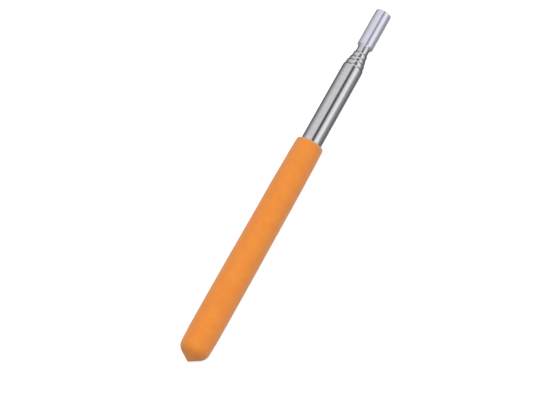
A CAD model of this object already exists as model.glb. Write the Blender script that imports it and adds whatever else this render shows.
"""Looks for the telescopic magnetic pick-up tool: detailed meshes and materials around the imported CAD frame.

The tool lies along +X with its magnet at the +X end. Lengths are in metres.
"""

from math import cos, hypot, pi, radians, sin, tan

import bpy
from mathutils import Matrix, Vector, noise


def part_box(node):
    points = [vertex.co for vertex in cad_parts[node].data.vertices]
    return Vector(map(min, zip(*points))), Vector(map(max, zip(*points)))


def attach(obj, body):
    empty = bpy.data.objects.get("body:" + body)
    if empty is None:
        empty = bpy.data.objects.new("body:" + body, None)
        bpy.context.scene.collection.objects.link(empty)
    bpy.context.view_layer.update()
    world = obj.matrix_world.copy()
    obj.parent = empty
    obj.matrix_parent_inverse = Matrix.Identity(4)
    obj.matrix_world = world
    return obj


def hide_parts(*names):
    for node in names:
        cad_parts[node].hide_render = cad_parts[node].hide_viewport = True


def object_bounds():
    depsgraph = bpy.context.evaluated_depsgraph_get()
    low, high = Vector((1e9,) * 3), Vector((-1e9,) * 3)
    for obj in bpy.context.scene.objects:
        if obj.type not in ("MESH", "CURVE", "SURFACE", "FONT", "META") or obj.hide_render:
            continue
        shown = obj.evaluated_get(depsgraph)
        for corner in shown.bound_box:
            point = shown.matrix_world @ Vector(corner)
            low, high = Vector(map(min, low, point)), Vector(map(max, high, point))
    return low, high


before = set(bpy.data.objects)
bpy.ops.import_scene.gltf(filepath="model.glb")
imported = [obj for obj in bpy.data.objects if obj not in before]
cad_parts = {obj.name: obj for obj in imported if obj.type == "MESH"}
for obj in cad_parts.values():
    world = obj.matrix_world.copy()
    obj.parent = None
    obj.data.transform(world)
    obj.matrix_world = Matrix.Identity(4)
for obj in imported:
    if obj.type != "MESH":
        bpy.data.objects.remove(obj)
cad_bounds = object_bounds()

MM = 0.001
SECTIONS = (2, 3, 4, 5)
ROUND_STEPS = 128          # faces around a turned piece
ARC_STEPS = 10             # faces along a rounded edge
HOLD = 0.04 * MM           # a ring this close to an edge keeps the shading of a long face flat
LONG = 6 * HOLD            # a stretch of outline longer than this gets such rings
WALL = 0.3 * MM            # tube wall
SWAGE_IN = 0.03 * MM       # a tube is drawn in this much below its rolled lip
SWAGE_LENGTH = 0.5 * MM    # length of that drawn-in stretch
LIP_ROUND = 0.40 * MM      # outer rounding of the rolled lip
EDGE = 0.05 * MM           # rounding of a cut tube edge

AXIS_Z = sum(corner.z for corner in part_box("outer_tube")) / 2


# ---------------------------------------------------------------- shapes

def span(node):
    """Where a CAD node starts and ends along the tool, and its outer radius."""
    low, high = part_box(node)
    return low.x, high.x, (high.y - low.y) / 2


def arc(x, r, size, start, end, steps=ARC_STEPS):
    """Points of an arc about (x, r). Angle 0 points along +X and 90 degrees points away from the axis."""
    angles = [radians(start + (end - start) * i / steps) for i in range(steps + 1)]
    return [(x + size * cos(a), r + size * sin(a)) for a in angles]


def with_hold_rings(outline, closed):
    """The outline with an extra point close to each end of every long stretch."""
    ends = outline[1:] + outline[:1] if closed else outline[1:]
    points = []
    for (x0, r0), (x1, r1) in zip(outline, ends):
        points.append((x0, r0))
        length = hypot(x1 - x0, r1 - r0)
        if length > LONG:
            for t in (HOLD / length, 1 - HOLD / length):
                points.append((x0 + (x1 - x0) * t, r0 + (r1 - r0) * t))
    return points if closed else points + [outline[-1]]


def lathe(name, outline, closed=False, steps=ROUND_STEPS, sharp=35, move=None):
    """A piece turned about the tool's axis, from the (x, radius) points of its outline.

    A closed outline is the section of a ring, and an open one starts and ends on the axis.
    move(x, angle, radius) may return another radius.
    """
    verts, rings = [], []
    for x, r in outline:
        if r == 0:
            rings.append([len(verts)] * steps)
            verts.append((x, 0, AXIS_Z))
            continue
        rings.append(list(range(len(verts), len(verts) + steps)))
        for j in range(steps):
            a = 2 * pi * j / steps
            radius = move(x, a, r) if move else r
            verts.append((x, radius * cos(a), AXIS_Z + radius * sin(a)))
    faces = []
    following = rings[1:] + rings[:1] if closed else rings[1:]
    for low, high in zip(rings, following):
        for j in range(steps):
            k = (j + 1) % steps
            corners = [low[j], low[k], high[k], high[j]]
            faces.append(list(dict.fromkeys(corners)))
    mesh = bpy.data.meshes.new(name)
    mesh.from_pydata(verts, [], faces)
    mesh.validate()
    mesh.shade_smooth()
    mesh.set_sharp_from_angle(angle=radians(sharp))
    piece = bpy.data.objects.new(name, mesh)
    bpy.context.scene.collection.objects.link(piece)
    return piece


def dress(piece, node, body, material):
    """The piece stands for a CAD node, moves with its body and wears the material."""
    piece.data.materials.append(material)
    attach(piece, body)
    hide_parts(node)


# ---------------------------------------------------------------- materials

# How fine the noise of turned metal is, per metre: its marks along and around the tool, and its tints around.
FINE_ALONG, FINE_AROUND = 9000, 120
BROAD_AROUND = 60
# How fine the foam's mottle, skin and cells are, per metre, and how deep the last two look.
FOAM_MOTTLE, FOAM_SKIN, FOAM_CELLS = 260, 1500, 3200
SKIN_DEPTH, PIT_DEPTH = 0.05 * MM, 0.03 * MM
# The foam's pale cut edge: it begins this far below the mouth, and is at its palest this far below it.
CUT_EDGE_START, CUT_EDGE_FULL = 1.2 * MM, 0.4 * MM
CUT_EDGE_SHARE = 0.9       # how much of the pale colour shows there
# How fine the grain of moulded plastic is, per metre, and how deep.
PLASTIC_GRAIN, PLASTIC_DEPTH = 5000, 0.004 * MM


def new_material(name, **settings):
    """A material with one Principled shader; settings are the shader's own sockets."""
    material = bpy.data.materials.new(name)
    material.use_nodes = True
    shader = material.node_tree.nodes["Principled BSDF"]
    for socket, value in settings.items():
        shader.inputs[socket.replace("_", " ")].default_value = value
    return material, material.node_tree, shader


def add(tree, kind, **values):
    """A node of that kind. Values named after a socket set it, and others set the node's property."""
    node = tree.nodes.new("ShaderNode" + kind)
    for key, value in values.items():
        label = key.replace("_", " ")
        if label in node.inputs:
            node.inputs[label].default_value = value
        else:
            setattr(node, key, value)
    return node


def srgb(red, green, blue):
    """A linear colour from 0-255 display values."""
    def linear(v):
        v /= 255
        return v / 12.92 if v <= 0.04045 else ((v + 0.055) / 1.055) ** 2.4
    return linear(red), linear(green), linear(blue), 1.0


def grain(tree, scale, stretch=(1, 1, 1), detail=4.0, roughness=0.55):
    """Noise in the tool's own frame, stretched along X, Y and Z. Returns its value socket."""
    where = add(tree, "TexCoord")
    mapping = add(tree, "Mapping", Scale=stretch)
    pattern = add(tree, "TexNoise", Scale=scale, Detail=detail, Roughness=roughness)
    tree.links.new(where.outputs["Object"], mapping.inputs["Vector"])
    tree.links.new(mapping.outputs["Vector"], pattern.inputs["Vector"])
    return pattern.outputs["Fac"]


def ramp(tree, value, stops):
    """A colour ramp of (position, colour) stops on a value socket. Returns its colour socket."""
    node = add(tree, "ValToRGB")
    elements = node.color_ramp.elements
    while len(elements) < len(stops):
        elements.new(0.5)
    for element, (position, colour) in zip(elements, stops):
        element.position = position
        element.color = colour
    tree.links.new(value, node.inputs["Fac"])
    return node.outputs["Color"]


def map_range(tree, value, low, high, start=0.0, end=1.0):
    """Maps start..end to low..high on a value socket. Returns the result's socket."""
    node = add(tree, "MapRange")
    for socket, number in zip(("From Min", "From Max", "To Min", "To Max"), (start, end, low, high)):
        node.inputs[socket].default_value = number
    tree.links.new(value, node.inputs["Value"])
    return node.outputs["Result"]


def bump(tree, shader, height, distance, strength=1.0, under=None):
    """Bump from a height socket, on top of another bump's normal if given. Returns its normal socket."""
    node = add(tree, "Bump", Strength=strength, Distance=distance)
    tree.links.new(height, node.inputs["Height"])
    if under:
        tree.links.new(under, node.inputs["Normal"])
    tree.links.new(node.outputs["Normal"], shader.inputs["Normal"])
    return node.outputs["Normal"]


def turned_metal(name, dark, light, rough, marks=0.004 * MM, bands=900, metallic=1.0, sheen=0.0):
    """Metal with fine marks around the tool, as grinding or turning leaves them.

    dark and light are its tints, rough its range of roughness, marks the depth of the fine marks
    and bands how closely the tints follow each other along the tool.
    """
    material, tree, shader = new_material(name, Metallic=metallic, Sheen_Weight=sheen, Sheen_Roughness=0.5)
    fine = grain(tree, 1.0, stretch=(FINE_ALONG, FINE_AROUND, FINE_AROUND), detail=3)
    broad = grain(tree, 1.0, stretch=(bands, BROAD_AROUND, BROAD_AROUND), detail=4)
    tree.links.new(ramp(tree, broad, [(0.3, dark), (0.7, light)]), shader.inputs["Base Color"])
    tree.links.new(map_range(tree, fine, rough[0], rough[1], 0.3, 0.7), shader.inputs["Roughness"])
    bump(tree, shader, fine, marks)
    return material


def foam_material():
    """Matte closed-cell foam: small cells, a faint mottle and a powdery look where it turns away.

    The cut edge at its mouth is paler.
    """
    material, tree, shader = new_material(
        "foam_orange", Roughness=0.9, IOR=1.35, Sheen_Weight=0.6, Sheen_Roughness=0.5,
        Sheen_Tint=srgb(255, 246, 236))
    mottle = grain(tree, FOAM_MOTTLE, detail=5)
    oranges = [(0.3, srgb(229, 134, 49)), (0.5, srgb(232, 139, 53)), (0.7, srgb(235, 143, 57))]
    colour = ramp(tree, mottle, oranges)
    where = add(tree, "TexCoord")
    split = add(tree, "SeparateXYZ")
    tree.links.new(where.outputs["Object"], split.inputs["Vector"])
    mouth = span("grip_sleeve")[1]
    cut_edge = map_range(tree, split.outputs["X"], 0.0, CUT_EDGE_SHARE,
                         mouth - CUT_EDGE_START, mouth - CUT_EDGE_FULL)
    worn = add(tree, "MixRGB", Color2=srgb(208, 153, 110))
    tree.links.new(cut_edge, worn.inputs["Fac"])
    tree.links.new(colour, worn.inputs["Color1"])
    tree.links.new(worn.outputs["Color"], shader.inputs["Base Color"])
    pores = grain(tree, FOAM_SKIN, detail=6, roughness=0.7)
    skin = bump(tree, shader, pores, SKIN_DEPTH, strength=0.6)
    cells = add(tree, "TexVoronoi", Scale=FOAM_CELLS)
    tree.links.new(where.outputs["Object"], cells.inputs["Vector"])
    pits = map_range(tree, cells.outputs["Distance"], 0.0, 1.0, 0.05, 0.45)
    bump(tree, shader, pits, PIT_DEPTH, strength=0.5, under=skin)
    return material


def plastic_material(name, colour):
    """Moulded plastic with a fine satin grain."""
    material, tree, shader = new_material(name, Base_Color=colour, IOR=1.5)
    fine = grain(tree, PLASTIC_GRAIN, detail=3)
    tree.links.new(map_range(tree, fine, 0.38, 0.55, 0.3, 0.7), shader.inputs["Roughness"])
    bump(tree, shader, fine, PLASTIC_DEPTH)
    return material


def grey(v):
    return (v, v, v, 1.0)


FOAM = foam_material()
STEEL = turned_metal("ground_steel", (0.61, 0.60, 0.63, 1), (0.67, 0.66, 0.69, 1), (0.09, 0.15),
                     marks=0.0015 * MM)
STEM_STEEL = turned_metal("turned_steel", grey(0.50), grey(0.62), (0.22, 0.34), bands=400)
PLATING = turned_metal("zinc_plate", (0.70, 0.70, 0.83, 1), (0.76, 0.76, 0.89, 1), (0.11, 0.18),
                       marks=0.002 * MM, metallic=0.77, sheen=0.5)
BRASS = turned_metal("turned_brass", srgb(176, 138, 66), srgb(214, 178, 98), (0.20, 0.36), bands=1600)
BRONZE = turned_metal("spring_bronze", srgb(168, 106, 62), srgb(206, 142, 92), (0.22, 0.34), bands=300)
NICKEL = turned_metal("magnet_nickel", srgb(176, 172, 164), srgb(202, 199, 192), (0.22, 0.34), bands=300)
PLUG_PLASTIC = plastic_material("black_nylon", srgb(38, 38, 40))
SLEEVE_PLASTIC = plastic_material("sleeve_plastic", srgb(30, 30, 33))


# ---------------------------------------------------------------- tubes

def tube_outline(start, end, radius, rolled):
    """Section of a tube: a softly cut lower edge and, at the upper end, a rolled lip or another cut edge."""
    inner = radius - WALL
    outline = arc(start + EDGE, inner + EDGE, EDGE, 270, 180)
    outline += arc(start + EDGE, radius - EDGE, EDGE, 180, 90)
    if rolled:
        lip_x, lip_r = end - LIP_ROUND, radius - SWAGE_IN - LIP_ROUND
        outline.append((lip_x - SWAGE_LENGTH, radius))
        outline += arc(lip_x, lip_r, LIP_ROUND, 90, 0)
        outline += arc(lip_x, lip_r, LIP_ROUND - WALL, 0, 90)
        outline.append((lip_x - SWAGE_LENGTH, inner))
    else:
        outline += arc(end - EDGE, radius - EDGE, EDGE, 90, 0)
        outline += arc(end - EDGE, inner + EDGE, EDGE, 0, -90)
    return outline


def tube(node, body, rolled=True):
    """One of the nested tubes, in its CAD node's place. The innermost isn't rolled: it ends in the head."""
    start, end, radius = span(node)
    outline = with_hold_rings(tube_outline(start, end, radius, rolled), closed=True)
    dress(lathe(node + "_skin", outline, closed=True), node, body, STEEL)


tube("outer_tube", "handle")
for k in SECTIONS:
    tube(f"section_{k}_tube", f"section_{k}", rolled=k < SECTIONS[-1])


# ---------------------------------------------------------------- grip

FOAM_STEP = 0.35 * MM      # spacing of the foam's rings
FOAM_ROUND_STEPS = 160     # faces around it
WAVE_SIZE, WAVE_DEPTH = 14 * MM, 0.06 * MM       # the foam's slow waviness
CELL_SIZE, CELL_DEPTH = 1.1 * MM, 0.03 * MM      # its cells
SLIM_DEPTH = 0.22 * MM                           # its narrowing along the side,
SLIM_START, SLIM_RISE = 34 * MM, 52 * MM         # which starts here from the tip and deepens over this length
SLIM_END, SLIM_FALL = 86 * MM, 15 * MM           # and from here fades out over this length
CALM = 2 * MM              # closer to the axis than this, all of these fade out
NEAR = 0.04 * MM           # a point of the CAD this close to the bore belongs to it


def foam_outline():
    """The grip's outside, from the tip to the mouth: its CAD node's largest radius at each place."""
    bore = span("outer_tube")[2]
    hole_start = span("tube_end_plug")[0]
    widest = {}
    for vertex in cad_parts["grip_sleeve"].data.vertices:
        x = round(vertex.co.x, 7)
        r = hypot(vertex.co.y, vertex.co.z - AXIS_Z)
        inside = x > hole_start - NEAR and r < bore + NEAR
        if not inside:
            widest[x] = max(r, widest.get(x, 0))
    return sorted(widest.items())


def smooth(t):
    t = min(1, max(0, t))
    return t * t * (3 - 2 * t)


def resampled(outline, step):
    """The outline as points an even step apart."""
    points, carry = [outline[0]], 0.0
    for (x0, r0), (x1, r1) in zip(outline, outline[1:]):
        length = hypot(x1 - x0, r1 - r0)
        at = step - carry
        while at < length:
            points.append((x0 + (x1 - x0) * at / length, r0 + (r1 - r0) * at / length))
            at += step
        carry = length - (at - step)
    return points + [outline[-1]]


def foam_surface(x, angle, radius):
    """Sinks the foam a little, unevenly: a slow waviness, small cells, and a narrowing along its side.

    It never stands proud of the CAD.
    """
    place = Vector((x, radius * cos(angle), radius * sin(angle)))
    waves = noise.noise(place / WAVE_SIZE) * 0.5 + 0.5
    cells = noise.noise(place / CELL_SIZE) * 0.5 + 0.5
    along = x - cad_bounds[0][0]
    slim = smooth((along - SLIM_START) / SLIM_RISE) * (1 - smooth((along - SLIM_END) / SLIM_FALL))
    return radius - min(1, radius / CALM) * (WAVE_DEPTH * waves + CELL_DEPTH * cells + SLIM_DEPTH * slim)


def grip():
    rings = resampled(foam_outline(), FOAM_STEP)
    tip, mouth = rings[0][0], rings[-1][0]
    rings[0] = (tip, 0.0)
    bore = span("outer_tube")[2]
    hole_start = span("tube_end_plug")[0]
    edge_depth, edge_gap, edge_end = 0.12 * MM, 0.02 * MM, 2 * MM
    inside = [(mouth - edge_depth, bore + edge_gap), (mouth - edge_end, bore)]
    inside += [(hole_start, bore), (hole_start, 0.0)]
    piece = lathe("grip_foam", rings + inside, steps=FOAM_ROUND_STEPS, sharp=50, move=foam_surface)
    dress(piece, "grip_sleeve", "handle", FOAM)


grip()


# ---------------------------------------------------------------- head

def head_shell():
    start, end, radius = span("head_shell")
    neck = span("section_5_tube")
    pocket = span("pole_plate")
    socket = neck[2] + 0.01 * MM
    stud = 1.5 * MM
    foot, rim, bore_rim = 0.8 * MM, 0.3 * MM, 0.12 * MM
    soft = 0.1 * MM                    # rounding of the foot's two edges,
    turn = soft * tan(radians(22.5))   # which takes this much off each side of a 45 degree edge
    outline = [(start, socket)]
    outline += arc(start + soft, radius - foot - turn, soft, 180, 135)
    outline += arc(start + foot + turn, radius - soft, soft, 135, 90)
    outline += arc(end - rim, radius - rim, rim, 90, 0)
    outline += arc(end - bore_rim, pocket[2] + bore_rim, bore_rim, 0, -90)
    outline += [(pocket[0], pocket[2]), (pocket[0], stud), (neck[1], stud), (neck[1], socket)]
    piece = lathe("head_shell_skin", with_hold_rings(outline, closed=True), closed=True)
    dress(piece, "head_shell", "section_5", PLATING)


def magnet():
    start, end, radius = span("magnet")
    edge = 0.3 * MM
    outline = [(start, 0.0)] + arc(start + edge, radius - edge, edge, 180, 90)
    outline += arc(end - edge, radius - edge, edge, 90, 0) + [(end, 0.0)]
    piece = lathe("magnet_skin", with_hold_rings(outline, closed=False))
    dress(piece, "magnet", "section_5", NICKEL)


def magnet_sleeve():
    start, end, radius = span("magnet_sleeve")
    inner = span("magnet")[2]
    edge = 0.08 * MM
    outline = [(start, inner), (start, radius)] + arc(end - edge, radius - edge, edge, 90, 0)
    outline += arc(end - edge, inner + edge, edge, 0, -90)
    piece = lathe("magnet_sleeve_skin", with_hold_rings(outline, closed=True), closed=True)
    dress(piece, "magnet_sleeve", "section_5", SLEEVE_PLASTIC)


head_shell()
magnet()
magnet_sleeve()


# ---------------------------------------------------------------- CAD nodes that stay

def paint(node, material):
    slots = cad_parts[node].data.materials
    slots.clear()
    slots.append(material)


for k in SECTIONS:
    paint(f"section_{k}_bush", BRASS)
    paint(f"section_{k}_spring", BRONZE)
paint("tube_end_plug", PLUG_PLASTIC)
paint("head_stem", STEM_STEEL)
paint("pole_plate", STEM_STEEL)


# ---------------------------------------------------------------- stage

VIEW_ELEVATION = radians(70.23)
VIEW_HEADING = radians(27.92)      # the tool points this far to the right of straight away from the camera
VIEW_DISTANCE = 1.0
VIEW_WIDTH = 0.2268                # what the frame's width takes in at that distance
SENSOR = 36                        # mm
AIM_SHARE = 0.4422                 # the point of the tool's length that the camera looks at
AIM_ASIDE = -0.3 * MM              # and how far beside the axis that point is

# Light that metal mirrors, as (angle, brightness) around the tool. Angle 0 lies VIEW_SIDE degrees from
# straight up, about where the main view looks from, and positive angles lie towards -Y. There is a dark gap
# in the middle, a broad softbox on its left, a brighter one on its right, and a dim ground.
VIEW_SIDE = 8
DIM, DARK = 0.22, 0.08             # the ground, and the gap
LEFT_BOX = [(-120, DIM), (-65, 0.9), (-17, 0.9), (-2, DARK)]
RIGHT_BOX = [(10, DARK), (30, 1.0), (45, 1.25), (57, 1.25), (80, 0.45), (110, DIM)]
# Along the tool, brightness goes by the sine of the angle towards +X. Those softboxes end soon above the
# tool's +X end. Beyond them hangs one more, over the gap.
BOXES_ALONG = [(-1.0, 0.9), (0.39, 1.0), (0.435, 0.33), (0.65, 0.22), (1.0, 0.15)]
OVERHEAD_ALONG = [(0.395, 0.0), (0.44, 1.0), (0.62, 1.0), (0.70, 0.0)]
OVERHEAD_AROUND = [(-42, 0.0), (-26, 1.0), (30, 1.0), (46, 0.0)]
OVERHEAD_BRIGHTNESS = 0.85
# Broad cards on both sides, far towards +X, that show in the metal from the other sides.
SIDE_ALONG = [(0.60, 0.0), (0.72, 1.0), (1.0, 1.0)]
SIDE_CARD = [(45, 0.0), (60, 0.8), (110, 1.0), (140, 0.6), (170, 0.2)]
SIDE_AROUND = [(-angle, v) for angle, v in reversed(SIDE_CARD)] + SIDE_CARD
SIDE_BRIGHTNESS = 0.6
SKY, GROUND = 0.70, 0.48           # plain light on what isn't mirrored, from straight up and straight down,
SKY_BEHIND = 0.35                  # times this from beyond the grip's tip and 2 less this from the other end

FLOOR_SIZE = 6
TOP_SOFTBOX = {"place": (-0.1, 0.0, 1.1), "size": 0.9, "power": 6}


def camera():
    low, high = cad_bounds
    aim = Vector((low[0] + (high[0] - low[0]) * AIM_SHARE, AIM_ASIDE, AXIS_Z))
    towards = Vector((-cos(VIEW_ELEVATION) * cos(VIEW_HEADING), -cos(VIEW_ELEVATION) * sin(VIEW_HEADING),
                      sin(VIEW_ELEVATION)))
    data = bpy.data.cameras.new("camera")
    data.sensor_width = SENSOR
    data.lens = SENSOR * VIEW_DISTANCE / VIEW_WIDTH
    data.clip_start = 0.01
    eye = bpy.data.objects.new("camera", data)
    bpy.context.scene.collection.objects.link(eye)
    eye.location = aim + VIEW_DISTANCE * towards
    eye.rotation_euler = towards.to_track_quat("Z", "Y").to_euler()
    bpy.context.scene.camera = eye


def floor():
    """A pale floor that the metal doesn't mirror."""
    bpy.ops.mesh.primitive_plane_add(size=FLOOR_SIZE)
    plane = bpy.context.object
    plane.name = "floor"
    paper = new_material("floor_paper", Base_Color=grey(0.9), Roughness=0.95,
                         Emission_Color=grey(1.0), Emission_Strength=0.55)[0]
    plane.data.materials.append(paper)
    plane.visible_glossy = False
    plane.visible_diffuse = False


def grey_stops(stops, low, high, top):
    """Grey ramp stops from (place, brightness) pairs, for places low to high and brightness up to top."""
    return [((place - low) / (high - low), grey(v / top)) for place, v in stops]


def studio_world():
    """Metal mirrors a studio of softboxes fixed around the tool. A plain soft sky lights everything else."""
    world = bpy.data.worlds.new("studio")
    bpy.context.scene.world = world
    world.use_nodes = True
    tree = world.node_tree
    tree.nodes.clear()
    link = tree.links.new
    where = add(tree, "TexCoord")
    split = add(tree, "SeparateXYZ")
    link(where.outputs["Generated"], split.inputs["Vector"])
    minus_y = add(tree, "Math", operation="MULTIPLY")
    minus_y.inputs[1].default_value = -1
    link(split.outputs["Y"], minus_y.inputs[0])
    angle = add(tree, "Math", operation="ARCTAN2")
    link(minus_y.outputs[0], angle.inputs[0])
    link(split.outputs["Z"], angle.inputs[1])
    around = map_range(tree, angle.outputs[0], 0, 1, -pi, pi)
    along = map_range(tree, split.outputs["X"], 0, 1, -1, 1)

    def lamp(around_stops, along_stops, brightness=1.0):
        """A softbox, or several in a row, with these brightnesses around the tool and along it."""
        top = max(v for _, v in around_stops)
        shifted = [(a + VIEW_SIDE, v) for a, v in around_stops]
        both = add(tree, "MixRGB", blend_type="MULTIPLY", Fac=1.0)
        link(ramp(tree, around, grey_stops(shifted, -180, 180, top)), both.inputs["Color1"])
        link(ramp(tree, along, grey_stops(along_stops, -1, 1, 1.0)), both.inputs["Color2"])
        light = add(tree, "Background", Strength=brightness * top)
        link(both.outputs["Color"], light.inputs["Color"])
        return light.outputs[0]

    def together(first, second):
        """The light of two shaders added up."""
        total = add(tree, "AddShader")
        link(first, total.inputs[0])
        link(second, total.inputs[1])
        return total.outputs[0]

    softboxes = lamp(LEFT_BOX + RIGHT_BOX, BOXES_ALONG)
    overhead = lamp(OVERHEAD_AROUND, OVERHEAD_ALONG, OVERHEAD_BRIGHTNESS)
    cards = lamp(SIDE_AROUND, SIDE_ALONG, SIDE_BRIGHTNESS)
    mirrored = together(together(softboxes, overhead), cards)

    height = map_range(tree, split.outputs["Z"], GROUND, SKY, -1, 1)
    depth = map_range(tree, split.outputs["X"], SKY_BEHIND, 2 - SKY_BEHIND, -1, 1)
    strength = add(tree, "Math", operation="MULTIPLY")
    link(height, strength.inputs[0])
    link(depth, strength.inputs[1])
    plain = add(tree, "Background", Color=grey(1.0))
    link(strength.outputs[0], plain.inputs["Strength"])

    rays = add(tree, "LightPath")
    seen = add(tree, "MixShader")
    backdrop = add(tree, "Background", Color=grey(1.0), Strength=1.0)
    link(rays.outputs["Is Camera Ray"], seen.inputs["Fac"])
    link(plain.outputs[0], seen.inputs[1])
    link(backdrop.outputs[0], seen.inputs[2])
    mix = add(tree, "MixShader")
    link(rays.outputs["Is Glossy Ray"], mix.inputs["Fac"])
    link(seen.outputs[0], mix.inputs[1])
    link(mirrored, mix.inputs[2])
    link(mix.outputs[0], add(tree, "OutputWorld").inputs["Surface"])


def softbox(name, place, size, power):
    """A round lamp that shines at the middle of the tool and isn't mirrored."""
    data = bpy.data.lights.new(name, "AREA")
    data.shape = "DISK"
    data.size = size
    data.energy = power
    lamp = bpy.data.objects.new(name, data)
    bpy.context.scene.collection.objects.link(lamp)
    lamp.location = place
    lamp.rotation_euler = Vector(place).to_track_quat("Z", "Y").to_euler()
    lamp.visible_glossy = False


camera()
floor()
studio_world()
softbox("top_softbox", **TOP_SOFTBOX)
bpy.context.scene.view_settings.view_transform = "Standard"
